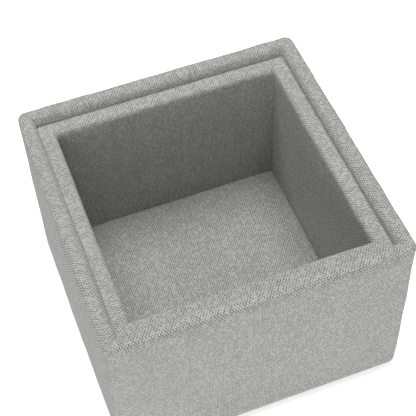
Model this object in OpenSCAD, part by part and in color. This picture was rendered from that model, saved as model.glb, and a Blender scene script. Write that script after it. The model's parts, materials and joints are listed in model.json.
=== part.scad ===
// Square upholstered storage ottoman with a lift-off cushion lid.
// Millimetres, +Z up. The origin is on the floor under the middle of the box, and the front faces -Y.
// The lid is stored upside down on the floor beside the box. A half turn of its swing joint closes it.

/* [Box] */
// Outside width and depth of the box
box_side = 500; // [400:10:600]
// Height of the box from its underside to the top of its rim
box_height = 342; // [280:1:420]
// Radius of the upright outer corners
corner_radius = 12; // [9:1:20]
// Radius of the rim's outer top edge
rim_outer_radius = 7; // [3:0.5:9]
// Radius of the rim's inner top edge
rim_inner_radius = 3; // [2:0.5:3]
// Width of the raised rim
rim_width = 23; // [21:0.5:30]
// Depth of the ledge below the top of the rim
rebate_depth = 19; // [12:0.5:30]
// Width of the ledge inside the rim
ledge_width = 26.5; // [20:0.5:40]
// Radius of the ledge's inner edge
ledge_radius = 4; // [2:0.5:8]

/* [Materials] */
// Thickness of the upholstery fabric
fabric = 1.5; // [0.8:0.1:2.5]
// Thickness of the foam round the outside of the walls
wall_foam_thickness = 5; // [3:0.5:8]
// Thickness of the foam on top of the wall panels
rim_foam_thickness = 4; // [2:0.5:8]
// Thickness of the plywood wall panels
panel_thickness = 12; // [9:0.5:15]
// Thickness of the plywood bottom panel
bottom_thickness = 6; // [4:0.5:12]
// Thickness of the hardboard behind the lining
lining_board_thickness = 2; // [2:0.5:4]
// Thickness of the padding under the floor lining
floor_padding = 5; // [2:0.5:12]
// Height of the rails round the foot and under the ledge
rail_height = 30; // [20:1:60]

/* [Feet and fasteners] */
// Height of the glides under the box
glide_height = 10; // [5:0.5:20]
// Diameter of each glide
glide_diameter = 26; // [18:1:36]
// Diameter of the wood screws
screw_diameter = 4; // [3:0.5:5]
// Length of the panel screws
panel_screw_length = 35; // [25:1:38]
// Number of staples along each edge
staples_per_side = 11; // [6:1:16]

/* [Lid] */
// Thickness of the lid's cushion above the rim
cushion_height = 90; // [60:1:140]
// Radius of the cushion's top edge
cushion_radius = 8; // [4:0.5:12]
// Gap between the rim and the underside of the closed lid
lid_gap = 1; // [0.5:0.1:3]
// Thickness of the plywood board in the lid
lid_board_thickness = 12; // [9:0.5:18]
// Width of the battens that locate the lid inside the rim
batten_width = 49; // [30:1:80]
// Gap between the rim and the widest part of the locating frame
locating_gap = 1.5; // [1:0.1:4]
// How far the locating frame's sides slope in towards its underside
locating_slope = 12; // [10:0.5:18]
// Length of the screws that hold the locating frame
lid_screw_length = 29; // [20:1:30]
// Width of the fabric folded under the lid
lid_margin = 22; // [12:1:22]
// Distance between the box and the lid on the floor beside it
lid_spacing = 320; // [300:10:600]

/* [Hidden] */
$fn = 48;
arc_steps = 6;
slip = 0.05;
gap = 0.4;

base_z = glide_height;
rim_z = base_z + box_height;
ledge_z = rim_z - rebate_depth;
dust_cover_thickness = 1;
dust_inset = 10;
fold_width = 24;
fold_radius = 2;
board_z = base_z + dust_cover_thickness + fabric;

panel_outer = fabric + wall_foam_thickness;
panel_inner = panel_outer + panel_thickness;
panel_top = rim_z - fabric - rim_foam_thickness;
panel_corner = corner_radius - panel_outer;
rim_outer_centre = [rim_outer_radius, rim_z - rim_outer_radius];
rim_inner_centre = [rim_width - rim_inner_radius, rim_z - rim_inner_radius];
rail_inner = rim_width + ledge_width - fabric - lining_board_thickness;
rail_width = rail_inner - panel_inner;
lining_inner = rim_width + ledge_width;
ledge_padding = 2;
rail_top = ledge_z - fabric - ledge_padding;
tack_strip_width = 12;
rail_span = box_side - 2 * rail_inner;
inside_panels = box_side - 2 * panel_inner;
post_centre = box_side / 2 - panel_inner - rail_width / 2;
bottom_z = board_z + rail_height;
floor_z = bottom_z + bottom_thickness;
floor_top = floor_z + floor_padding + fabric;

screw_head = screw_diameter * 2;
head_depth = 2.5;
screw_levels = [60, 170, 300];
screw_stagger = 15;
bottom_screw_length = 30;
bottom_screw_place = 120;
nail_diameter = 3;
nail_head = 7;
nail_head_thickness = 1.5;
nail_length = 28;
nail_recess = 4;

staple_width = 10;
staple_wire = 0.7;
staple_crown = 0.5;
staple_inset = 15;

lid_z = rim_z + lid_gap;
lid_top = lid_z + cushion_height;
lid_board_z = lid_z + fabric;
lid_board_top = lid_board_z + lid_board_thickness;
seam_z = lid_top - cushion_radius;
locating_z = ledge_z + gap;
locating_edge = rim_width + locating_gap;
lid_screw_place = 120;
lid_screw_inset = locating_edge + locating_slope + 16;
// The swing axis is half way between where the lid lies and where it closes.
swing_x = box_side / 2 + lid_spacing / 2;
swing_z = lid_top / 2;

fabric_colour = [0.63, 0.64, 0.62];
board_colour = [0.78, 0.66, 0.47];
rail_colour = [0.84, 0.72, 0.52];
foam_colour = [0.93, 0.90, 0.78];
sides = ["front", "right", "back", "left"];

// ---- Shared shapes ----

// Points of a rounded profile corner, from one angle to the other.
function arc(centre, radius, from, to) =
    [for (i = [0:arc_steps]) let (a = from + (to - from) * i / arc_steps)
        centre + radius * [cos(a), sin(a)]];

// The turn that carries the front side to a named side.
function turn_of(side) = 90 * search([side], sides)[0];

// One side of a square ring with mitred ends. A profile point is [distance in from the outside face, height].
// corner_profile is the part of the profile that turns round the upright outer corner.
module ring_side(profile, corner_profile = []) {
    half = box_side / 2;
    corner = len(corner_profile) > 0 ? corner_radius : 0;
    intersection() {
        translate([0, -half, 0])
            rotate([90, 0, 90])
                linear_extrude(height = 2 * (half - corner), center = true)
                    polygon(profile);
        linear_extrude(height = lid_top + glide_height)
            polygon([[0, 0], [-half, -half], [half, -half]]);
    }
    if (corner > 0)
        for (end = [0, 1])
            mirror([end, 0, 0])
                translate([half - corner, corner - half, 0])
                    rotate(-90)
                        rotate_extrude(angle = 45)
                            polygon([for (p = corner_profile) [corner - p[0], p[1]]]);
}

module side(name) {
    rotate(turn_of(name)) children();
}

module all_sides() {
    for (name = sides) side(name) children();
}

// An upright block with a square outline, set in from the outside face, with rounded corners.
module block(inset, from, to, corner) {
    half = box_side / 2 - inset;
    translate([0, 0, from])
        linear_extrude(height = to - from)
            union() {
                square([2 * half, 2 * (half - corner)], center = true);
                square([2 * (half - corner), 2 * half], center = true);
                for (x = [-1, 1], y = [-1, 1])
                    translate([x, y] * (half - corner)) circle(r = corner);
            }
}

// A countersunk screw pointing down -Z, with the top of its head at the origin.
module screw(length, extra = 0) {
    translate([0, 0, -length]) cylinder(d = screw_diameter + 2 * extra, h = length);
    translate([0, 0, -head_depth])
        cylinder(d1 = screw_diameter + 2 * extra, d2 = screw_head + 2 * extra, h = head_depth);
}

// Copies at each panel screw of one side. The neighbouring sides' screws are staggered.
module at_panel_screws(name) {
    lift = name == "left" || name == "right" ? screw_stagger : 0;
    side(name)
        for (x = [-1, 1], level = screw_levels)
            translate([x * post_centre, panel_outer - box_side / 2, level + lift])
                rotate([90, 0, 0]) children();
}

module at_corners() {
    for (x = [-1, 1], y = [-1, 1]) translate([x * post_centre, y * post_centre, 0]) children();
}

module at_bottom_screws() {
    for (name = sides) side(name)
        for (x = [-1, 1])
            translate([x * bottom_screw_place, -post_centre, floor_z]) children();
}

module at_lid_screws() {
    for (name = sides) side(name)
        for (x = [-1, 1])
            translate([x * lid_screw_place, lid_screw_inset - box_side / 2, lid_board_top]) children();
}

// A row of staple crowns on a downward face at height z, along one side.
module staple_row(z) {
    reach = box_side / 2 - corner_radius - staple_width;
    spacing = 2 * reach / (staples_per_side - 1);
    for (i = [0:staples_per_side - 1])
        translate([i * spacing - reach, staple_inset - box_side / 2, z - staple_crown / 2])
            cube([staple_width, staple_wire, staple_crown], center = true);
}

// Carries the lid from its closed place to where it lies on the floor.
module laid_aside() {
    translate([2 * swing_x, 0, 2 * swing_z]) rotate([0, 180, 0]) children();
}

// ---- Frame of the box ----

module wall_panel(name) {
    color(board_colour)
        difference() {
            intersection() {
                block(panel_outer, board_z, panel_top, panel_corner);
                side(name)
                    if (name == "front" || name == "back")
                        translate([-box_side / 2, panel_outer - box_side / 2, board_z])
                            cube([box_side, panel_thickness, panel_top - board_z]);
                    else
                        translate([-inside_panels / 2, panel_outer - box_side / 2, board_z])
                            cube([inside_panels, panel_thickness, panel_top - board_z]);
            }
            at_panel_screws(name) screw(panel_screw_length, slip);
        }
}

module front_panel() { wall_panel("front"); }
module back_panel() { wall_panel("back"); }
module left_panel() { wall_panel("left"); }
module right_panel() { wall_panel("right"); }

module corner_post(x, y) {
    color(rail_colour)
        difference() {
            translate([x * post_centre, y * post_centre, (board_z + rail_top) / 2])
                cube([rail_width, rail_width, rail_top - board_z], center = true);
            for (name = sides) at_panel_screws(name) screw(panel_screw_length, slip);
            at_corners() translate([0, 0, base_z]) cylinder(d = nail_diameter + 2 * slip, h = nail_length);
        }
}

module corner_post_front_left() { corner_post(-1, -1); }
module corner_post_front_right() { corner_post(1, -1); }
module corner_post_back_left() { corner_post(-1, 1); }
module corner_post_back_right() { corner_post(1, 1); }

module rail(name, z) {
    color(rail_colour)
        difference() {
            side(name)
                translate([-rail_span / 2, panel_inner - box_side / 2, z])
                    cube([rail_span, rail_width, rail_height]);
            at_bottom_screws() screw(bottom_screw_length, slip);
        }
}

module ledge_rail_front() { rail("front", rail_top - rail_height); }
module ledge_rail_back() { rail("back", rail_top - rail_height); }
module ledge_rail_left() { rail("left", rail_top - rail_height); }
module ledge_rail_right() { rail("right", rail_top - rail_height); }
module base_rail_front() { rail("front", board_z); }
module base_rail_back() { rail("back", board_z); }
module base_rail_left() { rail("left", board_z); }
module base_rail_right() { rail("right", board_z); }

module bottom_panel() {
    color(board_colour)
        difference() {
            translate([0, 0, bottom_z + bottom_thickness / 2])
                cube([inside_panels, inside_panels, bottom_thickness], center = true);
            at_corners()
                translate([0, 0, bottom_z + bottom_thickness / 2])
                    cube([rail_width, rail_width, 2 * bottom_thickness], center = true);
            at_bottom_screws() screw(bottom_screw_length, slip);
        }
}

module lining_board(name) {
    profile = [
        [rail_inner, floor_z], [rail_inner + lining_board_thickness, floor_z],
        [rail_inner + lining_board_thickness, ledge_z - ledge_radius], [rail_inner, ledge_z - ledge_radius]
    ];
    color([0.55, 0.42, 0.30]) side(name) ring_side(profile);
}

module lining_board_front() { lining_board("front"); }
module lining_board_back() { lining_board("back"); }
module lining_board_left() { lining_board("left"); }
module lining_board_right() { lining_board("right"); }

// ---- Padding of the box ----

module wall_foam() {
    // It stands clear of the curve where the cover folds under.
    foot = board_z + fold_radius - fabric;
    top = rim_z - rim_outer_radius;
    color(foam_colour)
        difference() {
            block(fabric + slip, foot, top, corner_radius - fabric - slip);
            block(panel_outer, board_z - 1, top + 1, panel_corner);
        }
}

module rim_foam() {
    outside = concat(
        [[panel_outer, rim_z - rim_outer_radius]],
        arc(rim_outer_centre, rim_outer_radius - fabric, 180, 90)
    );
    inside = concat(
        arc(rim_inner_centre, rim_inner_radius - fabric, 90, 0),
        [[rim_width - fabric, rail_top], [panel_inner, rail_top], [panel_inner, panel_top]]
    );
    corner_end = [[corner_radius, rim_z - fabric], [corner_radius, panel_top]];
    last = [[panel_outer, panel_top]];
    color(foam_colour)
        all_sides() ring_side(concat(outside, inside, last), concat(outside, corner_end, last));
}

module ledge_wadding() {
    from = rim_width + tack_strip_width;
    to = lining_inner - ledge_radius;
    top = rail_top + ledge_padding;
    profile = [[from, rail_top], [to, rail_top], [to, top], [from, top]];
    color("white") all_sides() ring_side(profile);
}

module tack_strips() {
    from = rim_width;
    to = rim_width + tack_strip_width;
    top = rail_top + ledge_padding;
    profile = [[from, rail_top], [to, rail_top], [to, top], [from, top]];
    color([0.72, 0.62, 0.45])
        all_sides()
            difference() {
                ring_side(profile);
                // A slit at each mitre keeps the four strips apart.
                for (x = [-1, 1])
                    translate([x * box_side / 2, -box_side / 2, 0]) rotate(x * 45)
                        cube([gap, box_side, 3 * box_side], center = true);
            }
}

module floor_wadding() {
    color("white") block(rail_inner + lining_board_thickness, floor_z, floor_z + floor_padding, fabric);
}

// ---- Fabric of the box ----

module outer_cover(name) {
    fold_z = base_z + dust_cover_thickness;
    fold_centre = [fold_radius, fold_z + fold_radius];
    outer_face = concat(
        arc(fold_centre, fold_radius, 270, 180),
        arc(rim_outer_centre, rim_outer_radius, 180, 90)
    );
    inner_face = concat(
        arc(rim_outer_centre, rim_outer_radius - fabric, 90, 180),
        arc(fold_centre, fold_radius - fabric, 180, 270)
    );
    rim_leg = concat(
        arc(rim_inner_centre, rim_inner_radius, 90, 0),
        [[rim_width, rail_top], [rim_width - fabric, rail_top]],
        arc(rim_inner_centre, rim_inner_radius - fabric, 0, 90)
    );
    profile = concat([[fold_width, fold_z]], outer_face, rim_leg, inner_face, [[fold_width, board_z]]);
    corner_profile = concat(
        [[corner_radius, fold_z]], outer_face,
        [[corner_radius, rim_z], [corner_radius, rim_z - fabric]],
        inner_face, [[corner_radius, board_z]]
    );
    color(fabric_colour) side(name) ring_side(profile, corner_profile);
}

module cover_front() { outer_cover("front"); }
module cover_back() { outer_cover("back"); }
module cover_left() { outer_cover("left"); }
module cover_right() { outer_cover("right"); }

module wall_lining(name) {
    centre = [lining_inner - ledge_radius, ledge_z - ledge_radius];
    profile = concat(
        [[rim_width, ledge_z]],
        arc(centre, ledge_radius, 90, 0),
        [[lining_inner, floor_top], [lining_inner - fabric, floor_top]],
        arc(centre, ledge_radius - fabric, 0, 90),
        [[rim_width, ledge_z - fabric]]
    );
    color(fabric_colour) side(name) ring_side(profile);
}

module lining_front() { wall_lining("front"); }
module lining_back() { wall_lining("back"); }
module lining_left() { wall_lining("left"); }
module lining_right() { wall_lining("right"); }

module floor_lining() {
    color(fabric_colour) block(rail_inner + lining_board_thickness, floor_top - fabric, floor_top, fabric);
}

module dust_cover() {
    color([0.12, 0.12, 0.13])
        difference() {
            block(dust_inset, base_z, base_z + dust_cover_thickness, dust_inset);
            at_corners()
                translate([0, 0, base_z - 1]) cylinder(d = nail_diameter + 2 * slip, h = 3);
        }
}

// ---- Feet and fasteners of the box ----

module glides() {
    color([0.10, 0.10, 0.11])
        at_corners()
            difference() {
                cylinder(d = glide_diameter, h = glide_height);
                translate([0, 0, -1]) cylinder(d = nail_head + 1, h = nail_recess + 1);
                cylinder(d = nail_diameter + 2 * slip, h = glide_height + 1);
            }
}

module glide_nails() {
    color("silver")
        at_corners()
            translate([0, 0, nail_recess - nail_head_thickness]) {
                cylinder(d = nail_head, h = nail_head_thickness);
                cylinder(d = nail_diameter, h = nail_length);
            }
}

module panel_screws() {
    color("gold") for (name = sides) at_panel_screws(name) screw(panel_screw_length);
}

module bottom_screws() {
    color("gold") at_bottom_screws() screw(bottom_screw_length);
}

module dust_cover_staples() {
    color("silver") all_sides() staple_row(base_z);
}

// ---- Lid ----

module lid_board() {
    color(board_colour)
        laid_aside()
            difference() {
                block(panel_outer, lid_board_z, lid_board_top, panel_corner);
                at_lid_screws() screw(lid_screw_length, slip);
            }
}

// A cushion profile between two distances in from the outside: all of the side, or what turns round a corner.
function foam_profile(end) = concat(
    [[panel_outer, lid_board_z]],
    arc([fold_radius, lid_z + fold_radius], fold_radius - fabric, 270, 180),
    arc([cushion_radius, seam_z], cushion_radius - fabric, 180, 90),
    [[end, lid_top - fabric], [end, lid_board_top], [panel_outer, lid_board_top]]
);

module lid_foam() {
    color(foam_colour) laid_aside() all_sides()
        ring_side(foam_profile(box_side / 2), foam_profile(corner_radius));
}

function top_profile(end) = concat(
    arc([cushion_radius, seam_z], cushion_radius, 180, 90),
    [[end, lid_top], [end, lid_top - fabric]],
    arc([cushion_radius, seam_z], cushion_radius - fabric, 90, 180)
);

module lid_cover_top() {
    color(fabric_colour) laid_aside() all_sides()
        ring_side(top_profile(box_side / 2), top_profile(corner_radius));
}

function border_profile(end) =
    let (fold_centre = [fold_radius, lid_z + fold_radius])
    concat(
        [[end, lid_z]],
        arc(fold_centre, fold_radius, 270, 180),
        [[0, seam_z], [fabric, seam_z]],
        arc(fold_centre, fold_radius - fabric, 180, 270),
        [[end, lid_board_z]]
    );

module lid_border(name) {
    color(fabric_colour) laid_aside() side(name)
        ring_side(border_profile(lid_margin), border_profile(corner_radius));
}

module lid_border_front() { lid_border("front"); }
module lid_border_back() { lid_border("back"); }
module lid_border_left() { lid_border("left"); }
module lid_border_right() { lid_border("right"); }

// The locating frame's outline, set in by a margin from its fabric's outside.
function locating_side(margin) =
    let (drop = rim_z - locating_z, length = norm([locating_slope, drop]),
         shift = margin * [drop, locating_slope] / length,
         at = function (z) locating_edge + shift[0] + (rim_z + shift[1] - z) * locating_slope / drop)
    [
        [locating_edge + margin, lid_board_z],
        [locating_edge + margin, rim_z + shift[1] - (margin - shift[0]) * drop / locating_slope],
        [at(locating_z + margin), locating_z + margin]
    ];

module locating_batten(name) {
    inner = locating_edge + batten_width;
    profile = concat(locating_side(fabric), [[inner, locating_z + fabric], [inner, lid_board_z]]);
    color(rail_colour)
        laid_aside()
            difference() {
                side(name) ring_side(profile);
                at_lid_screws() screw(lid_screw_length, slip);
            }
}

module locating_batten_front() { locating_batten("front"); }
module locating_batten_back() { locating_batten("back"); }
module locating_batten_left() { locating_batten("left"); }
module locating_batten_right() { locating_batten("right"); }

module locating_cover() {
    inside = locating_side(fabric);
    profile = concat(
        locating_side(0),
        [[box_side / 2, locating_z], [box_side / 2, locating_z + fabric]],
        [inside[2], inside[1], inside[0]]
    );
    color(fabric_colour) laid_aside() all_sides() ring_side(profile);
}

module locating_screws() {
    color("gold") laid_aside() at_lid_screws() screw(lid_screw_length);
}

module lid_staples() {
    color("silver") laid_aside() all_sides() staple_row(lid_z);
}

// ---- Nodes ----

// The origin is on the floor under the swing axis, half way between the box and its lid.
translate([-swing_x, 0, 0]) {
    front_panel();
    back_panel();
    left_panel();
    right_panel();
    corner_post_front_left();
    corner_post_front_right();
    corner_post_back_left();
    corner_post_back_right();
    ledge_rail_front();
    ledge_rail_back();
    ledge_rail_left();
    ledge_rail_right();
    base_rail_front();
    base_rail_back();
    base_rail_left();
    base_rail_right();
    bottom_panel();
    lining_board_front();
    lining_board_back();
    lining_board_left();
    lining_board_right();
    wall_foam();
    rim_foam();
    ledge_wadding();
    tack_strips();
    cover_front();
    cover_back();
    cover_left();
    cover_right();
    lining_front();
    lining_back();
    lining_left();
    lining_right();
    floor_wadding();
    floor_lining();
    dust_cover();
    dust_cover_staples();
    glides();
    glide_nails();
    panel_screws();
    bottom_screws();
    lid_board();
    lid_foam();
    lid_cover_top();
    lid_border_front();
    lid_border_back();
    lid_border_left();
    lid_border_right();
    locating_batten_front();
    locating_batten_back();
    locating_batten_left();
    locating_batten_right();
    locating_cover();
    locating_screws();
    lid_staples();
}
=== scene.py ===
"""Storage ottoman with its lid off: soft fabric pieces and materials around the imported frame."""

import json
import math
from types import SimpleNamespace

import bpy
import numpy as np
from mathutils import Matrix, Vector, noise


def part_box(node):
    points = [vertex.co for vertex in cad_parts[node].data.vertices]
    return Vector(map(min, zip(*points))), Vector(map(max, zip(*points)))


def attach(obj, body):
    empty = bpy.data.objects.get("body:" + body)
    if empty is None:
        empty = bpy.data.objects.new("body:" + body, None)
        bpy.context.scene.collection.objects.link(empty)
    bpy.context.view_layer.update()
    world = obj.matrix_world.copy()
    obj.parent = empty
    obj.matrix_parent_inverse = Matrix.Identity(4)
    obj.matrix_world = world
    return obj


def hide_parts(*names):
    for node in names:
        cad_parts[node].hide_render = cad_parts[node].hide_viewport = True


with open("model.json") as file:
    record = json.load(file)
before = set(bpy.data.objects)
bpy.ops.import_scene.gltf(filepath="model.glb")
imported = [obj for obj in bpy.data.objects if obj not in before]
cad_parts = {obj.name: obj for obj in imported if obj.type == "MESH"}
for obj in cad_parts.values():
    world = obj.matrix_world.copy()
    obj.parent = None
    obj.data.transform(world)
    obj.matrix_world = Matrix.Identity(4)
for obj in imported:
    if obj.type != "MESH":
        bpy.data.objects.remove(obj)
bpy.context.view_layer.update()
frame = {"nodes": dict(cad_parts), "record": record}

MM = 0.001

# ---- Sizes, from the CAD nodes ----

HALF = (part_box("cover_right")[1].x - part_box("cover_left")[0].x) / 2
BOX_X = (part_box("cover_right")[1].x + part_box("cover_left")[0].x) / 2
LID_X = (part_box("lid_cover_top")[0].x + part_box("lid_cover_top")[1].x) / 2
COVER_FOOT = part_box("cover_front")[0].z
RIM_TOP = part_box("cover_front")[1].z
RAIL_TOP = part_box("ledge_rail_front")[1].z
LEDGE_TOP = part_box("lining_front")[1].z
RIM_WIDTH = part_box("lining_front")[0].y + HALF
WALL_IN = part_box("lining_front")[1].y + HALF
FLOOR_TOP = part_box("floor_lining")[1].z
FLOOR_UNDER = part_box("floor_wadding")[0].z
FLOOR_HALF = HALF - WALL_IN
LID_UPPER = max(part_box("lid_border_front")[1].z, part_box("lid_border_left")[1].z)
FRAME_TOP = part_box("locating_cover")[1].z
FRAME_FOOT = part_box("locating_cover")[0].z
FRAME_FOOT_IN = HALF - (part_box("locating_cover")[1].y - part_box("locating_cover")[0].y) / 2

# ---- Sizes that the nodes' boxes do not give ----

FOLD_WIDTH = 24 * MM  # of the outer cover, under the box
CORNER = 12 * MM  # radius of the upright corners
CLOTH = 1.5 * MM
LID_MARGIN = 28 * MM  # of the lid's cover, turned over its board
FRAME_SLOPE = 12 * MM  # how far the locating frame's sides lean in
FRAME_UPRIGHT = 3 * MM  # the foot of those sides, which stands upright

SIDES = ("front", "back", "left", "right")
NOISE_GAIN = 1.6  # brings Blender's noise to about -1 to 1
PRESS_SOFTNESS = 0.2 * MM  # how gradually a pressed face flattens
PUFF_FRAMES = 18  # of cloth simulation for each padded piece
LIGHT_AIM_HEIGHT = 0.3


# ---- Camera, at the photograph's viewing angle ----

VIEW_AZIMUTH = math.radians(18.42)
VIEW_DOWN = math.radians(52.31)
VIEW_ROLL = math.radians(2.80)
VIEW_DISTANCE = 1.833
VIEW_LENS = 100.54
VIEW_AIM = Vector((BOX_X - 0.0205, -0.059, RIM_TOP))


def make_camera():
    ahead = Vector((
        math.sin(VIEW_AZIMUTH) * math.cos(VIEW_DOWN),
        math.cos(VIEW_AZIMUTH) * math.cos(VIEW_DOWN),
        -math.sin(VIEW_DOWN),
    ))
    level = Vector((math.cos(VIEW_AZIMUTH), -math.sin(VIEW_AZIMUTH), 0))
    right = Matrix.Rotation(VIEW_ROLL, 3, ahead) @ level
    up = right.cross(ahead)
    data = bpy.data.cameras.new("camera")
    data.lens = VIEW_LENS
    data.sensor_width = 36
    data.clip_end = 50
    camera = bpy.data.objects.new("camera", data)
    place = Matrix((right, up, -ahead)).transposed().to_4x4()
    place.translation = VIEW_AIM - ahead * VIEW_DISTANCE
    camera.matrix_world = place
    bpy.context.scene.collection.objects.link(camera)
    bpy.context.scene.camera = camera


make_camera()


# ---- Materials ----

class Look:
    """A node material with a Principled shader, and short ways to add nodes to it."""

    def __init__(self, name, **shader):
        self.material = bpy.data.materials.new(name)
        self.material.use_nodes = True
        self.tree = self.material.node_tree
        self.tree.nodes.clear()
        out = self.tree.nodes.new("ShaderNodeOutputMaterial")
        self.shader = self.tree.nodes.new("ShaderNodeBsdfPrincipled")
        self.tree.links.new(self.shader.outputs[0], out.inputs[0])
        for socket, value in shader.items():
            self.shader.inputs[socket.replace("_", " ")].default_value = value

    def put(self, value, socket):
        if isinstance(value, bpy.types.NodeSocket):
            self.tree.links.new(value, socket)
        else:
            socket.default_value = value

    def add(self, kind, inputs=(), **settings):
        node = self.tree.nodes.new("ShaderNode" + kind)
        for name, value in settings.items():
            setattr(node, name, value)
        pairs = inputs.items() if isinstance(inputs, dict) else enumerate(inputs)
        for key, value in pairs:
            self.put(value, node.inputs[key])
        return node

    def math(self, operation, *values):
        return self.add("Math", values, operation=operation).outputs[0]

    def mix(self, share, first, second):
        """A number between first and second."""
        return self.add("Mix", {0: share, 2: first, 3: second}).outputs[0]

    def blend(self, share, first, second, kind="MIX"):
        """A colour between first and second."""
        node = self.add("Mix", {0: share, 6: first, 7: second}, data_type="RGBA", blend_type=kind)
        return node.outputs[2]

    def noise(self, vector, scale, detail=2.0, roughness=0.5):
        inputs = {"Vector": vector, "Scale": scale, "Detail": detail, "Roughness": roughness}
        return self.add("TexNoise", inputs).outputs[0]

    def ramp(self, value, *stops):
        node = self.add("ValToRGB", [value])
        points = node.color_ramp.elements
        while len(points) < len(stops):
            points.new(0.5)
        for point, (place, colour) in zip(points, stops):
            point.position, point.color = place, (*colour, 1)
        return node.outputs[0]

    def scaled(self, vector, x, y, z):
        return self.add("Mapping", {"Vector": vector, "Scale": (x, y, z)}).outputs[0]

    def place(self):
        return self.add("TexCoord").outputs["Object"]

    def bump(self, height, strength, distance):
        node = self.add("Bump", {"Strength": strength, "Distance": distance, "Height": height})
        self.put(node.outputs[0], self.shader.inputs["Normal"])

    def colour(self, value):
        self.put(value, self.shader.inputs["Base Color"])

    def rough(self, value):
        self.put(value, self.shader.inputs["Roughness"])


# The tweed. The pitch of its yarns was measured in the photograph.
YARN_ACROSS = 2.46 * MM
YARN_ALONG = 3.3 * MM
YARN_DRIFT = 1.3 * MM  # how far yarns wander from their place
# painted shade: the near-black colour laid into the hollows between yarns
PAINTED_GAP_SHADE = (0.050, 0.050, 0.046, 1)
WARP_COLOUR = (0.730, 0.738, 0.684, 1)
WEFT_COLOUR = (0.296, 0.300, 0.274, 1)
DULL_YARN = (0.26, 0.262, 0.25, 1)
PALE_FLECK = (0.66, 0.665, 0.64, 1)
DULL_SHARE = 0.18
FLECK_SHARE = 0.66
ROUNDNESS = 0.55  # how far a yarn dips towards the ends of its float
FIBRE_HEIGHT = 0.20
GAP_HEIGHT = 0.12  # at and below this height only the painted gap shade shows
LIT_HEIGHT = 0.85


def make_tweed():
    """A coarse plain weave of heathered yarns, laid out by the UV map, which is in metres. Its low
    hollows between yarns are darkened with painted shade.
    """
    look = Look("grey_tweed", Sheen_Weight=0.25, Sheen_Roughness=0.6, Specular_IOR_Level=0.2)
    uv = look.add("UVMap", uv_map="cloth").outputs[0]
    drift = look.add(
        "TexNoise", {"Vector": uv, "Scale": 55, "Detail": 2}, noise_dimensions="2D",
    ).outputs[1]
    centred = look.add("VectorMath", [drift, (0.5, 0.5, 0.5)], operation="SUBTRACT").outputs[0]
    shift = look.add("VectorMath", {0: centred, "Scale": YARN_DRIFT}, operation="SCALE").outputs[0]
    bent = look.add("VectorMath", [uv, shift], operation="ADD").outputs[0]
    parts = look.add("SeparateXYZ", [bent])
    across = look.math("DIVIDE", parts.outputs[0], YARN_ACROSS)
    along = look.math("DIVIDE", parts.outputs[1], YARN_ALONG)
    column, row = look.math("FLOOR", across), look.math("FLOOR", along)
    in_column, in_row = look.math("FRACT", across), look.math("FRACT", along)
    weft = look.math("FLOORED_MODULO", look.math("ADD", column, row), 2)

    def arch(value):
        """0 at both ends of the cell and 1 at its middle."""
        centre = look.math("MULTIPLY_ADD", value, 2, -1)
        return look.math("SUBTRACT", 1, look.math("MULTIPLY", centre, centre))

    round_across = arch(look.mix(weft, in_column, in_row))
    round_along = arch(look.mix(weft, in_row, in_column))
    crown = look.math(
        "MULTIPLY",
        look.math("SQRT", round_across),
        look.math("MULTIPLY_ADD", round_along, ROUNDNESS, 1 - ROUNDNESS),
    )
    yarn = look.add("CombineXYZ", [look.mix(weft, column, row), weft, 0]).outputs[0]
    yarn_tone = look.add("TexWhiteNoise", {"Vector": yarn}, noise_dimensions="2D").outputs[0]
    cell = look.add("CombineXYZ", [column, row, 0]).outputs[0]
    cell_tone = look.add("TexWhiteNoise", {"Vector": cell}, noise_dimensions="2D").outputs[0]
    fibre = look.noise(uv, scale=2600, detail=3, roughness=0.7)
    patch = look.noise(uv, scale=14, detail=3, roughness=0.6)

    height = look.math("MULTIPLY_ADD", look.math("SUBTRACT", fibre, 0.5), FIBRE_HEIGHT, crown)
    yarn_colour = look.blend(weft, WARP_COLOUR, WEFT_COLOUR)
    yarn_colour = look.blend(look.math("MULTIPLY", yarn_tone, DULL_SHARE), yarn_colour, DULL_YARN)
    # painted shade: from here the colour goes from the yarn's own towards near-black where the
    # weave is low, between yarns
    lit = look.add(
        "MapRange", {"Value": height, 1: GAP_HEIGHT, 2: LIT_HEIGHT},
        interpolation_type="SMOOTHSTEP",
    ).outputs[0]
    tone = look.blend(lit, PAINTED_GAP_SHADE, yarn_colour)
    fleck = look.math("MULTIPLY", look.math("POWER", cell_tone, 2), FLECK_SHARE)
    tone = look.blend(fleck, tone, PALE_FLECK)
    wear = look.math("MULTIPLY_ADD", patch, 0.16, 0.90)
    worn = look.add("CombineColor", [wear, wear, wear]).outputs[0]
    tone = look.blend(1.0, tone, worn, "MULTIPLY")
    look.colour(tone)
    look.rough(look.math("MULTIPLY_ADD", fibre, 0.15, 0.80))
    look.bump(height, strength=0.8, distance=0.7 * MM)
    return look.material


def make_dust_cloth():
    """Black spun-bonded cloth with its grid of bonded dots."""
    look = Look("dust_cloth", Specular_IOR_Level=0.3)
    place = look.place()
    dots = look.add("TexVoronoi", {"Vector": place, "Scale": 650, "Randomness": 0.25}).outputs[0]
    fibre = look.noise(look.scaled(place, 1, 0.3, 1), scale=2400, detail=3, roughness=0.6)
    height = look.math("MULTIPLY_ADD", fibre, 0.5, dots)
    look.colour(look.ramp(height, (0.2, (0.008, 0.008, 0.009)), (1.0, (0.035, 0.035, 0.037))))
    look.rough(look.math("MULTIPLY_ADD", fibre, 0.2, 0.65))
    look.bump(height, strength=0.6, distance=0.3 * MM)
    return look.material


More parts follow.
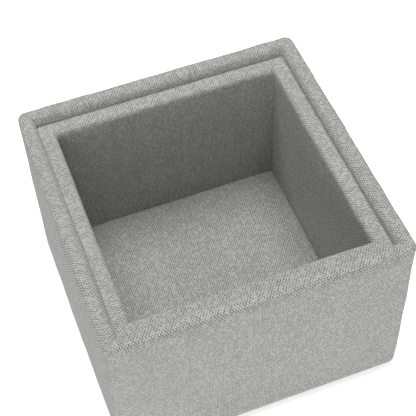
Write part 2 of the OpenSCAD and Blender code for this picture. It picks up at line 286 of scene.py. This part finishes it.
def make_wood(name, stretch, pale, dark, rings, rough):
    """Planed wood with its grain along one direction."""
    look = Look(name, Specular_IOR_Level=0.3)
    place = look.place()
    grain = look.scaled(place, *stretch)
    bands = look.add(
        "TexWave",
        {"Vector": grain, "Scale": rings, "Distortion": 6, "Detail": 3, "Detail Scale": 1.2},
        bands_direction="DIAGONAL",
    ).outputs[1]
    pores = look.noise(grain, scale=240, detail=4, roughness=0.65)
    blotch = look.noise(place, scale=9, detail=3)
    open_pores = look.math("GREATER_THAN", pores, 0.60)
    tone = (*pale, 1)
    for mask, share in ((bands, 0.6), (open_pores, 0.35), (blotch, 0.25)):
        tone = look.blend(look.math("MULTIPLY", mask, share), tone, (*dark, 1))
    look.colour(tone)
    look.rough(look.math("MULTIPLY_ADD", pores, 0.2, rough))
    look.bump(look.math("ADD", bands, pores), strength=0.25, distance=0.2 * MM)
    return look.material


def make_board(name, pale, dark, scale, rough):
    """Pressed fibre: hardboard or tacking card."""
    look = Look(name, Specular_IOR_Level=0.25)
    place = look.place()
    fine = look.noise(place, scale, detail=4, roughness=0.7)
    broad = look.noise(place, scale / 30, detail=3)
    mottle = look.math("MULTIPLY_ADD", broad, 0.4, look.math("MULTIPLY", fine, 0.6))
    look.colour(look.ramp(mottle, (0.3, dark), (0.7, pale)))
    look.rough(look.math("MULTIPLY_ADD", fine, 0.2, rough))
    look.bump(fine, strength=0.3, distance=0.2 * MM)
    return look.material


def make_plastic():
    """Black moulded plastic, lightly scuffed."""
    look = Look("black_plastic", Specular_IOR_Level=0.5)
    place = look.place()
    grain = look.noise(place, scale=1800, detail=2, roughness=0.5)
    scuff = look.noise(place, scale=60, detail=4, roughness=0.6)
    look.colour(look.ramp(scuff, (0.3, (0.012, 0.012, 0.013)), (0.8, (0.030, 0.030, 0.032))))
    look.rough(look.math("MULTIPLY_ADD", scuff, 0.25, 0.35))
    look.bump(grain, strength=0.25, distance=0.1 * MM)
    return look.material


def make_metal(name, bright, dull):
    """Drawn or plated metal with fine streaks and a few dull stains."""
    look = Look(name, Metallic=1.0)
    place = look.place()
    streak = look.noise(look.scaled(place, 1, 1, 12), scale=500, detail=3, roughness=0.6)
    stain = look.noise(place, scale=90, detail=3, roughness=0.6)
    look.colour(look.ramp(stain, (0.3, dull), (0.65, bright)))
    look.rough(look.math("MULTIPLY_ADD", streak, 0.25, 0.20))
    look.bump(streak, strength=0.15, distance=0.05 * MM)
    return look.material


TWEED = make_tweed()
LOOKS = {
    "dust_cloth": make_dust_cloth(),
    "plywood": make_wood(
        "plywood", stretch=(1, 1, 0.12),
        pale=(0.64, 0.47, 0.28), dark=(0.46, 0.30, 0.15), rings=30, rough=0.55,
    ),
    "pine": make_wood(
        "pine", stretch=(0.15, 0.15, 1),
        pale=(0.72, 0.54, 0.31), dark=(0.50, 0.30, 0.13), rings=45, rough=0.50,
    ),
    "hardboard": make_board(
        "hardboard", pale=(0.30, 0.18, 0.09), dark=(0.16, 0.09, 0.045), scale=900, rough=0.45,
    ),
    "card": make_board(
        "card", pale=(0.50, 0.38, 0.23), dark=(0.34, 0.25, 0.14), scale=500, rough=0.75,
    ),
    "black_plastic": make_plastic(),
    "bright_steel": make_metal("bright_steel", bright=(0.66, 0.66, 0.67), dull=(0.42, 0.42, 0.43)),
    "zinc_steel": make_metal("zinc_steel", bright=(0.74, 0.62, 0.34), dull=(0.50, 0.42, 0.26)),
}
SLOT_OF = {part["node"]: part["material_slot"] for part in frame["record"]["subparts"]}
for node_name, node in frame["nodes"].items():
    if SLOT_OF[node_name] in LOOKS:
        node.data.materials.clear()
        node.data.materials.append(LOOKS[SLOT_OF[node_name]])


# ---- Shapes ----

BEND = 0.12  # radians between two samples, above which an outline counts as bent


def polish(points, rounds=3):
    """An open outline with its corners cut smooth. Its two ends stay."""
    for _ in range(rounds):
        cut = [points[0]]
        for a, b in zip(points, points[1:]):
            cut.append(tuple(0.75 * p + 0.25 * q for p, q in zip(a, b)))
            cut.append(tuple(0.25 * p + 0.75 * q for p, q in zip(a, b)))
        points = cut + [points[-1]]
    return points


def resample(points, coarse, fine):
    """The outline with points fine apart where it bends and coarse apart where it is straight,
    and how far along the outline each one lies."""
    points = np.array(points, float)
    steps = np.diff(points, axis=0)
    length = np.linalg.norm(steps, axis=1)
    place = np.concatenate([[0], np.cumsum(length)])
    heading = np.unwrap(np.arctan2(steps[:, 1], steps[:, 0]))
    middle = (place[1:] + place[:-1]) / 2
    found, at = [0.0], 0.0
    while at < place[-1] - fine / 2:
        ahead = np.interp(at + coarse, middle, heading)
        bend = abs(ahead - np.interp(at - coarse / 2, middle, heading))
        at += fine if bend > BEND else coarse
        found.append(min(at, place[-1]))
    found = np.array(found) * place[-1] / found[-1]
    return np.stack([np.interp(found, place, points[:, k]) for k in range(2)], 1), found


def fresh(name, points, faces, uv):
    """A new smooth-shaded mesh object. uv holds one pair for each corner of each face."""
    mesh = bpy.data.meshes.new(name)
    mesh.from_pydata(points, [], faces)
    layer = mesh.uv_layers.new(name="cloth")
    layer.data.foreach_set("uv", np.array(uv, np.float32).ravel())
    mesh.validate()
    mesh.update()
    mesh.shade_smooth()
    piece = bpy.data.objects.new(name, mesh)
    bpy.context.scene.collection.objects.link(piece)
    return piece


SIDE_SHIFT = 0.61  # keeps the weaves of the four sides apart


def turned(x, y, quarter):
    """A point of the front side, carried round to another side."""
    for _ in range(quarter % 4):
        x, y = -y, x
    return x, y


def ring(name, outline, run, centre_x, half, corner, inner_corner, step, turns):
    """Sweeps an outline of (inset, height) points round a square with rounded corners.
    Each side is its own cut of cloth, which meets the next at the middle of the corner."""
    straight = max(2, round(2 * (half - corner) / step))
    columns = []
    for k in range(4):
        columns += [(k, "side", -1 + 2 * i / straight) for i in range(straight + 1)]
        columns += [(k, "turn", math.radians(90) * i / turns) for i in range(1, turns)]
    rows, count = len(outline), len(columns)

    def corner_of(inset):
        """The radius of the ring's corner at this inset, and how far out its centre lies."""
        radius = max(corner - inset, inner_corner)
        return radius, half - inset - radius

    points, faces, uv = [], [], []
    for k, kind, t in columns:
        for inset, height in outline:
            radius, reach = corner_of(inset)
            if kind == "side":
                x, y = t * reach, inset - half
            else:
                x, y = reach + radius * math.sin(t), -reach - radius * math.cos(t)
            x, y = turned(x, y, k)
            points.append((centre_x + x, y, height))

    def along(column, row, side):
        """How far a point lies from the middle of its cut of cloth, along the side."""
        k, kind, t = columns[column % count]
        reach = corner_of(outline[row][0])[1]
        if kind == "side":
            return t * reach if k == side else -reach
        turn = max(corner, inner_corner)
        return reach + turn * t if k == side else -reach - turn * (math.pi / 2 - t)

    for c in range(count):
        k, kind, t = columns[c]
        side = k if kind == "side" or t < math.radians(45) - 1e-6 else (k + 1) % 4
        after = (c + 1) % count
        for r in range(rows - 1):
            corners = [(c, r), (after, r), (after, r + 1), (c, r + 1)]
            faces.append([p * rows + q for p, q in corners])
            uv += [(along(p, q, side) + side * SIDE_SHIFT, run[q]) for p, q in corners]
    return fresh(name, points, faces, uv)


SLAB_SIDE_SHIFT = 0.7  # keeps the weaves of a slab's face and sides apart


def slab(name, centre, half, low, high, corner, edge_low, edge_high, step,
         open_above=None, slope=0.0, upright=0.0):
    """A square slab with rounded upright corners and rounded edges. open_above leaves its upper
    face open from that inset inwards. slope is how far the sides lean in towards the top, above a
    foot of height upright that does not lean."""
    wide = round(2 * half / step)
    tall = max(2, round((high - low) / step))
    index, points, faces, uv = {}, [], [], []

    def place(i, j, k):
        x, y = (2 * i / wide - 1) * half, (2 * j / wide - 1) * half
        z = low + (high - low) * k / tall
        ax, ay = abs(x), abs(y)
        flat = half - corner
        if ax > flat and ay > flat:
            vx, vy = ax - flat, ay - flat
            far = math.hypot(vx, vy)
            most = max(vx, vy)
            inset, nx, ny = corner - most, vx / far, vy / far
            cx, cy, reach = flat, flat, corner
        elif ax >= ay:
            inset, nx, ny, cx, cy, reach = half - ax, 1, 0, 0, ay, half
        else:
            inset, nx, ny, cx, cy, reach = half - ay, 0, 1, ax, 0, half
        for edge, away in ((edge_low, z - low), (edge_high, high - z)):
            if edge > 0 and inset < edge and away < edge:
                a, b = 1 - inset / edge, 1 - away / edge
                far, most = math.hypot(a, b), max(a, b)
                if far > 0:
                    a, b = a * most / far, b * most / far
                    inset = edge * (1 - a)
                    z = low + edge * (1 - b) if away == z - low else high - edge * (1 - b)
        lean = 1 - slope / half * max(0, z - low - upright) / (high - low - upright)
        px, py = (cx + nx * (reach - inset)) * lean, (cy + ny * (reach - inset)) * lean
        return centre[0] + math.copysign(px, x), centre[1] + math.copysign(py, y), z

    def vertex(i, j, k):
        key = (i, j, k)
        if key not in index:
            index[key] = len(points)
            points.append(place(i, j, k))
        return index[key]

    def face(corners, layout):
        faces.append([vertex(*c) for c in corners])
        uv.extend(layout)

    size = 2 * half / wide
    course = (high - low) / tall
    for i in range(wide):
        for j in range(wide):
            spots = [(i, j), (i + 1, j), (i + 1, j + 1), (i, j + 1)]
            layout = [(a * size, b * size) for a, b in spots]
            face([(a, b, 0) for a, b in reversed(spots)], layout[::-1])
            from_edge = min(i + 0.5, j + 0.5, wide - i - 0.5, wide - j - 0.5) * size
            if open_above is None or from_edge < open_above:
                face([(a, b, tall) for a, b in spots], layout)
        for k in range(tall):
            for fixed, flip in ((0, False), (wide, True)):
                spots = [(i, k), (i + 1, k), (i + 1, k + 1), (i, k + 1)]
                layout = [(a * size + SLAB_SIDE_SHIFT, b * course) for a, b in spots]
                front = [(a, fixed, b) for a, b in spots]
                across = [(fixed, a, b) for a, b in spots]
                face(front[::-1] if flip else front, layout[::-1] if flip else layout)
                face(across if flip else across[::-1], layout if flip else layout[::-1])
    return fresh(name, points, faces, uv)


def located(place, centre_x):
    """Where points lie on a square piece as wide as the box. x and y are from its middle, z is the
    height, inset is how far in from the side, along how far from the middle of the side, and seam
    how far from the line between two sides."""
    x, y, z = place[:, 0] - centre_x, place[:, 1], place[:, 2]
    return SimpleNamespace(
        x=x, y=y, z=z,
        inset=HALF - np.maximum(abs(x), abs(y)),
        along=np.minimum(abs(x), abs(y)),
        seam=abs(abs(x) - abs(y)) / math.sqrt(2),
    )


def vectors(piece, attribute):
    found = np.empty(len(piece.data.vertices) * 3)
    piece.data.vertices.foreach_get(attribute, found)
    return found.reshape(-1, 3)


def places(piece):
    return vectors(piece, "co")


def normals(piece):
    return vectors(piece, "normal")


def write(piece, place):
    piece.data.vertices.foreach_set("co", np.ascontiguousarray(place, float).ravel())
    piece.data.update()


def swell(piece, push):
    """Moves every point out of the surface by its own push."""
    write(piece, places(piece) + normals(piece) * push[:, None])


def unevenness(place, size, seed):
    """Smooth noise from about -1 to 1 at each point, with lumps of about this size."""
    offset = Vector((seed * 3.7, seed * -1.9, seed * 5.3))
    return np.array([noise.noise(Vector(p) / size + offset) for p in place]) * NOISE_GAIN


def bell(distance, width):
    return np.exp(-((distance / width) ** 2))


def rise(amount, width):
    """0 up to an amount of 0, then straight up to 1 at this width."""
    return np.clip(amount / width, 0, 1)


def hump(level):
    """0 at levels 0 and 1, and 1 half way between them."""
    return np.clip(4 * level * (1 - level), 0, 1)


def thicken(piece, thickness):
    """Gives cloth its thickness, inwards."""
    solid = piece.modifiers.new("thickness", "SOLIDIFY")
    solid.thickness = thickness
    solid.offset = -1
    solid.use_even_offset = False


def press(piece, top):
    """Flattens whatever stands above a height."""
    place = places(piece)
    place[:, 2] = top - PRESS_SOFTNESS * np.logaddexp(0, (top - place[:, 2]) / PRESS_SOFTNESS)
    write(piece, place)


def puff(piece, held, pressure, most):
    """Lets cloth simulation swell a piece under pressure, as padding does. Held points stay, none
    moves further than most, and none sinks below where it started."""
    scene = bpy.context.scene
    start, out = places(piece), normals(piece)
    group = piece.vertex_groups.new(name="held")
    group.add([int(i) for i in np.flatnonzero(held)], 1.0, "REPLACE")
    cloth = piece.modifiers.new("cloth", "CLOTH")
    cloth.settings.quality = 4
    cloth.settings.mass = 0.2
    cloth.settings.tension_stiffness = 20
    cloth.settings.compression_stiffness = 20
    cloth.settings.shear_stiffness = 8
    cloth.settings.bending_stiffness = 0.4
    cloth.settings.use_pressure = True
    cloth.settings.uniform_pressure_force = pressure
    cloth.settings.vertex_group_mass = group.name
    cloth.settings.effector_weights.gravity = 0
    cloth.collision_settings.use_collision = False
    cloth.point_cache.frame_start = 1
    cloth.point_cache.frame_end = PUFF_FRAMES
    for step in range(1, PUFF_FRAMES + 1):
        scene.frame_set(step)
    settled = piece.evaluated_get(bpy.context.evaluated_depsgraph_get())
    end = np.empty(len(start) * 3)
    settled.data.vertices.foreach_get("co", end)
    move = end.reshape(-1, 3) - start
    move += out * np.maximum(0, -(move * out).sum(1, keepdims=True))
    far = np.linalg.norm(move, axis=1, keepdims=True)
    piece.modifiers.remove(cloth)
    piece.vertex_groups.remove(group)
    scene.frame_set(1)
    write(piece, start + move * np.minimum(1, most * np.tanh(far / most) / np.maximum(far, 1e-9)))


def finish_piece(piece, body, slot, *nodes):
    piece.data.materials.append(TWEED if slot == "grey_tweed" else LOOKS[slot])
    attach(piece, body)
    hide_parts(*nodes)


# ---- Outer cover: up the outside, over the padded rim, down into the groove ----

outer_outline = polish([
    (FOLD_WIDTH, COVER_FOOT + 0.3 * MM),
    (9 * MM, COVER_FOOT + 0.2 * MM),
    (2.5 * MM, COVER_FOOT + 0.4 * MM),
    (0.2 * MM, COVER_FOOT + 4 * MM),
    (-0.6 * MM, COVER_FOOT + 14 * MM),
    (-1.6 * MM, COVER_FOOT + 70 * MM),
    (-2.0 * MM, RIM_TOP - 150 * MM),
    (-2.2 * MM, RIM_TOP - 60 * MM),
    (-2.4 * MM, RIM_TOP - 14 * MM),
    (-2.0 * MM, RIM_TOP - 5 * MM),
    (-0.2 * MM, RIM_TOP - 1.4 * MM),
    (4.5 * MM, RIM_TOP - 0.2 * MM),
    (12.5 * MM, RIM_TOP - 0.1 * MM),
    (17.8 * MM, RIM_TOP - 1.8 * MM),
    (21.0 * MM, RIM_TOP - 6.2 * MM),
    (23.4 * MM, RIM_TOP - 12 * MM),
    (24.6 * MM, RIM_TOP - 17 * MM),
    (23.8 * MM, RIM_TOP - 20 * MM),
    (21.2 * MM, RAIL_TOP + 0.4 * MM),
])
outer_rows, outer_run = resample(outer_outline, coarse=5 * MM, fine=1.7 * MM)
outer_cover = ring(
    "outer_cover", outer_rows, outer_run, BOX_X, HALF,
    corner=CORNER, inner_corner=3 * MM, step=4.5 * MM, turns=12,
)


def shape_outer_cover():
    place = places(outer_cover)
    at = located(place, BOX_X)
    level = (at.z - COVER_FOOT) / (RIM_TOP - COVER_FOOT)
    side_bulge = np.clip(1 - (at.along / (HALF - CORNER)) ** 4, 0, 1) * hump(level) ** 0.6
    in_groove = np.where(at.inset > 19 * MM, rise(at.z - LEDGE_TOP, 10 * MM), 1)
    visible = rise(at.z - COVER_FOOT, 12 * MM) * in_groove
    push = side_bulge * (at.inset < 4 * MM) * 1.2 * MM
    broad, small = unevenness(place, 90 * MM, seed=1), unevenness(place, 32 * MM, seed=2)
    push += visible * (broad * 0.7 + small * 0.35) * MM
    on_rim = rise(at.z - RIM_TOP + 16 * MM, 14 * MM)
    push += on_rim * unevenness(place, 22 * MM, seed=3) * 0.45 * MM
    # the seam between two sides: up the corner and across the rim
    near_corner = rise(at.along - (HALF - 45 * MM), 20 * MM)
    crossing = rise(at.inset - 6 * MM, 8 * MM)
    push -= visible * near_corner * bell(at.seam, 1.8 * MM) * (0.15 + 0.25 * crossing) * MM
    # gathers that fan out from the rim's inner corner
    dx, dy = HALF - RIM_WIDTH - abs(at.x), HALF - RIM_WIDTH - abs(at.y)
    fan = np.sin(np.arctan2(dy, dx) * 9 + np.sign(at.x) * 0.9 + np.sign(at.y) * 0.5)
    push += visible * on_rim * fan * bell(np.hypot(dx, dy), 16 * MM) * 0.40 * MM
    swell(outer_cover, push)


# ---- Inner lining: out of the groove, over the ledge and down the inside wall ----

lining_outline = polish([
    (RIM_WIDTH - 2.4 * MM, RAIL_TOP + 0.3 * MM),
    (RIM_WIDTH - 1.2 * MM, RAIL_TOP + 1.0 * MM),
    (RIM_WIDTH - 0.8 * MM, RAIL_TOP + 2.8 * MM),
    (RIM_WIDTH + 2.5 * MM, LEDGE_TOP - 1.0 * MM),
    (RIM_WIDTH + 6.5 * MM, LEDGE_TOP - 0.4 * MM),
    (RIM_WIDTH + 12 * MM, LEDGE_TOP - 0.2 * MM),
    (WALL_IN - 10 * MM, LEDGE_TOP - 0.4 * MM),
    (WALL_IN - 6 * MM, LEDGE_TOP - 0.8 * MM),
    (WALL_IN - 2.8 * MM, LEDGE_TOP - 1.9 * MM),
    (WALL_IN - 0.4 * MM, LEDGE_TOP - 4.2 * MM),
    (WALL_IN + 1.2 * MM, LEDGE_TOP - 8 * MM),
    (WALL_IN + 1.9 * MM, LEDGE_TOP - 14 * MM),
    (WALL_IN + 1.6 * MM, LEDGE_TOP - 24 * MM),
    (WALL_IN + 0.4 * MM, LEDGE_TOP - 50 * MM),
    (WALL_IN, FLOOR_TOP + 60 * MM),
    (WALL_IN, FLOOR_UNDER + 0.5 * MM),
])
lining_rows, lining_run = resample(lining_outline, coarse=5 * MM, fine=1.6 * MM)
inner_lining = ring(
    "inner_lining", lining_rows, lining_run, BOX_X, HALF,
    corner=0, inner_corner=2.5 * MM, step=4.5 * MM, turns=4,
)


def shape_inner_lining():
    place = places(inner_lining)
    at = located(place, BOX_X)
    visible = rise(at.inset - RIM_WIDTH, 4 * MM) * rise(at.z - FLOOR_TOP, 20 * MM)
    firm = 1 - 0.5 * rise(at.z - LEDGE_TOP + 6 * MM, 4 * MM)
    broad, small = unevenness(place, 80 * MM, seed=4), unevenness(place, 30 * MM, seed=5)
    push = visible * firm * (broad * 0.8 + small * 0.35) * MM
    push -= visible * firm * bell(at.seam, 1.5 * MM) * 0.9 * MM
    # the cloth may not sink into the boards, least of all at the ledge's edge
    over_board = (at.inset > WALL_IN - 7 * MM) & (at.z > LEDGE_TOP - 8 * MM)
    swell(inner_lining, np.maximum(push, np.where(over_board, -0.25 * MM, -0.8 * MM)))


def puff_outer_cover():
    at = located(places(outer_cover), BOX_X)
    turned_under = (at.inset > 6 * MM) & (at.z < COVER_FOOT + 3 * MM)
    tacked = (at.inset > 18 * MM) & (at.z < LEDGE_TOP)
    upright_seam = at.along > HALF - CORNER - 1 * MM
    puff(outer_cover, turned_under | tacked | upright_seam, pressure=1.5, most=2.5 * MM)
    press(outer_cover, RIM_TOP + 0.3 * MM)


def puff_inner_lining():
    at = located(places(inner_lining), BOX_X)
    tacked = at.inset < RIM_WIDTH + 3 * MM
    corner_seam = abs(abs(at.x) - abs(at.y)) < 3 * MM
    board_edge = (at.inset > WALL_IN - 6 * MM) & (at.z > LEDGE_TOP - 8 * MM)
    held = tacked | (at.z < FLOOR_TOP) | corner_seam | board_edge
    puff(inner_lining, held, pressure=1.0, most=1.5 * MM)
    press(inner_lining, LEDGE_TOP + 0.2 * MM)


shape_outer_cover()
shape_inner_lining()
puff_outer_cover()
puff_inner_lining()
thicken(outer_cover, CLOTH)
thicken(inner_lining, CLOTH)
finish_piece(
    outer_cover, "box", "grey_tweed",
    *(f"cover_{s}" for s in SIDES), "wall_foam", "rim_foam",
)
finish_piece(
    inner_lining, "box", "grey_tweed",
    *(f"lining_{s}" for s in SIDES), "ledge_wadding",
)

# ---- Padded floor ----

floor_pad = slab(
    "floor_pad", (BOX_X, 0), FLOOR_HALF + 0.3 * MM, FLOOR_UNDER, FLOOR_TOP,
    corner=3 * MM, edge_low=0, edge_high=2.5 * MM, step=5 * MM,
)


def shape_floor_pad():
    place = places(floor_pad)
    at = located(place, BOX_X)
    upper = rise(at.z - FLOOR_UNDER, FLOOR_TOP - FLOOR_UNDER)
    from_wall = FLOOR_HALF - np.maximum(abs(at.x), abs(at.y))
    padding = rise(from_wall, 30 * MM) ** 0.5 * 2.2 * MM
    place[:, 2] += upper * (padding + unevenness(place, 70 * MM, seed=6) * 0.8 * MM)
    write(floor_pad, place)
    puff(floor_pad, places(floor_pad)[:, 2] < FLOOR_TOP - 3 * MM, pressure=3, most=3 * MM)


shape_floor_pad()
finish_piece(floor_pad, "box", "grey_tweed", "floor_lining", "floor_wadding")

# ---- Dust cover under the box ----

dust_low, dust_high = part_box("dust_cover")
dust_half = (dust_high.x - dust_low.x) / 2
dust_sheet = slab(
    "dust_sheet", (BOX_X, 0), dust_half, dust_low.z, dust_high.z - 0.3 * MM,
    corner=10 * MM, edge_low=0, edge_high=0, step=6 * MM,
)


def shape_dust_sheet():
    place = places(dust_sheet)
    from_edge = dust_half - np.maximum(abs(place[:, 0] - BOX_X), abs(place[:, 1]))
    slack = rise(from_edge - 20 * MM, 60 * MM)
    # both faces hang alike, so the height is left out of the noise
    place[:, 2] -= slack * (1.4 + unevenness(place * [1, 1, 0], 60 * MM, seed=7) * 0.9) * MM
    write(dust_sheet, place)


shape_dust_sheet()
finish_piece(dust_sheet, "box", "dust_cloth", "dust_cover")

# ---- Lid, lying upside down beside the box ----

lid_cushion = slab(
    "lid_cushion", (LID_X, 0), HALF, 0, LID_UPPER,
    corner=CORNER, edge_low=11 * MM, edge_high=3 * MM, step=5 * MM, open_above=LID_MARGIN,
)


def keep_lid_flat(place):
    """Keeps the lid off the floor and its turned-under margin flat."""
    place[:, 2] = np.clip(place[:, 2], 0, LID_UPPER)
    write(lid_cushion, place)


def shape_lid_cushion():
    place = places(lid_cushion)
    at = located(place, LID_X)
    level = at.z / LID_UPPER
    border = np.clip(1 - at.inset / (8 * MM), 0, 1)
    middle = np.clip(1 - (at.along / (HALF - CORNER)) ** 6, 0, 1)
    push = border * (hump(level) * middle) * 3.5 * MM
    push += border * np.clip(level * 8, 0, 1) * unevenness(place, 80 * MM, seed=8) * 0.6 * MM
    # the seam round the top panel, then the four upright ones
    push -= bell(at.z - 9 * MM, 1.8 * MM) * border * 0.9 * MM
    near_corner = rise(at.along - (HALF - 30 * MM), 15 * MM)
    push -= near_corner * bell(at.seam, 1.6 * MM) * 0.7 * MM * np.clip(level * 10, 0, 1)
    keep_lid_flat(place + normals(lid_cushion) * push[:, None])
    held = places(lid_cushion)[:, 2] > LID_UPPER - 4 * MM
    puff(lid_cushion, held, pressure=3, most=5 * MM)
    keep_lid_flat(places(lid_cushion))


shape_lid_cushion()
thicken(lid_cushion, CLOTH)
finish_piece(
    lid_cushion, "lid", "grey_tweed",
    "lid_cover_top", *(f"lid_border_{s}" for s in SIDES), "lid_foam",
)

frame_half = HALF - FRAME_FOOT_IN
locating_frame_cover = slab(
    "locating_frame_cover", (LID_X, 0), frame_half, FRAME_FOOT, FRAME_TOP,
    corner=2 * MM, edge_low=0, edge_high=3 * MM, step=5 * MM,
    slope=FRAME_SLOPE, upright=FRAME_UPRIGHT,
)


def shape_locating_frame_cover():
    place = places(locating_frame_cover)
    at = located(place, LID_X)
    from_edge = frame_half - FRAME_SLOPE - np.maximum(abs(at.x), abs(at.y))
    upper = rise(at.z - FRAME_FOOT, FRAME_TOP - FRAME_FOOT)
    sag = rise(from_edge - 40 * MM, 30 * MM)
    place[:, 2] -= upper * sag * (1.6 + unevenness(place, 80 * MM, seed=9) * 0.8) * MM
    write(locating_frame_cover, place)


shape_locating_frame_cover()
finish_piece(locating_frame_cover, "lid", "grey_tweed", "locating_cover")


# ---- Floor and light ----

FLOOR_REACH = 8


def make_floor():
    mesh = bpy.data.meshes.new("floor")
    ends = ((-1, -1), (1, -1), (1, 1), (-1, 1))
    mesh.from_pydata([(x * FLOOR_REACH, y * FLOOR_REACH, 0) for x, y in ends], [], [(0, 1, 2, 3)])
    floor = bpy.data.objects.new("floor", mesh)
    floor.location.z = -0.2 * MM
    bpy.context.scene.collection.objects.link(floor)
    look = Look("pale_floor", Roughness=0.9, Specular_IOR_Level=0.1, Emission_Strength=0.62)
    mottle = look.noise(look.place(), scale=3, detail=3)
    look.colour(look.ramp(mottle, (0.2, (0.93, 0.93, 0.93)), (0.8, (0.96, 0.96, 0.96))))
    look.shader.inputs["Emission Color"].default_value = (1, 1, 1, 1)
    mesh.materials.append(look.material)


def make_light(name, place, size, power):
    """A soft square lamp that points at the box."""
    data = bpy.data.lights.new(name, "AREA")
    data.size = size
    data.energy = power
    light = bpy.data.objects.new(name, data)
    light.location = place
    aim = Vector((BOX_X, 0, LIGHT_AIM_HEIGHT)) - Vector(place)
    light.rotation_euler = aim.to_track_quat("-Z", "Y").to_euler()
    bpy.context.scene.collection.objects.link(light)


def make_world(strength):
    world = bpy.data.worlds.new("studio")
    world.use_nodes = True
    background = world.node_tree.nodes["Background"]
    background.inputs[0].default_value = (1, 1, 1, 1)
    background.inputs[1].default_value = strength
    bpy.context.scene.world = world


make_floor()
make_light("top", (BOX_X, 0.3, 2.8), size=2.0, power=68)
make_light("front", (BOX_X - 0.7, -3.0, 1.1), size=1.6, power=26)
make_world(0.06)
bpy.context.scene.view_settings.view_transform = "Standard"
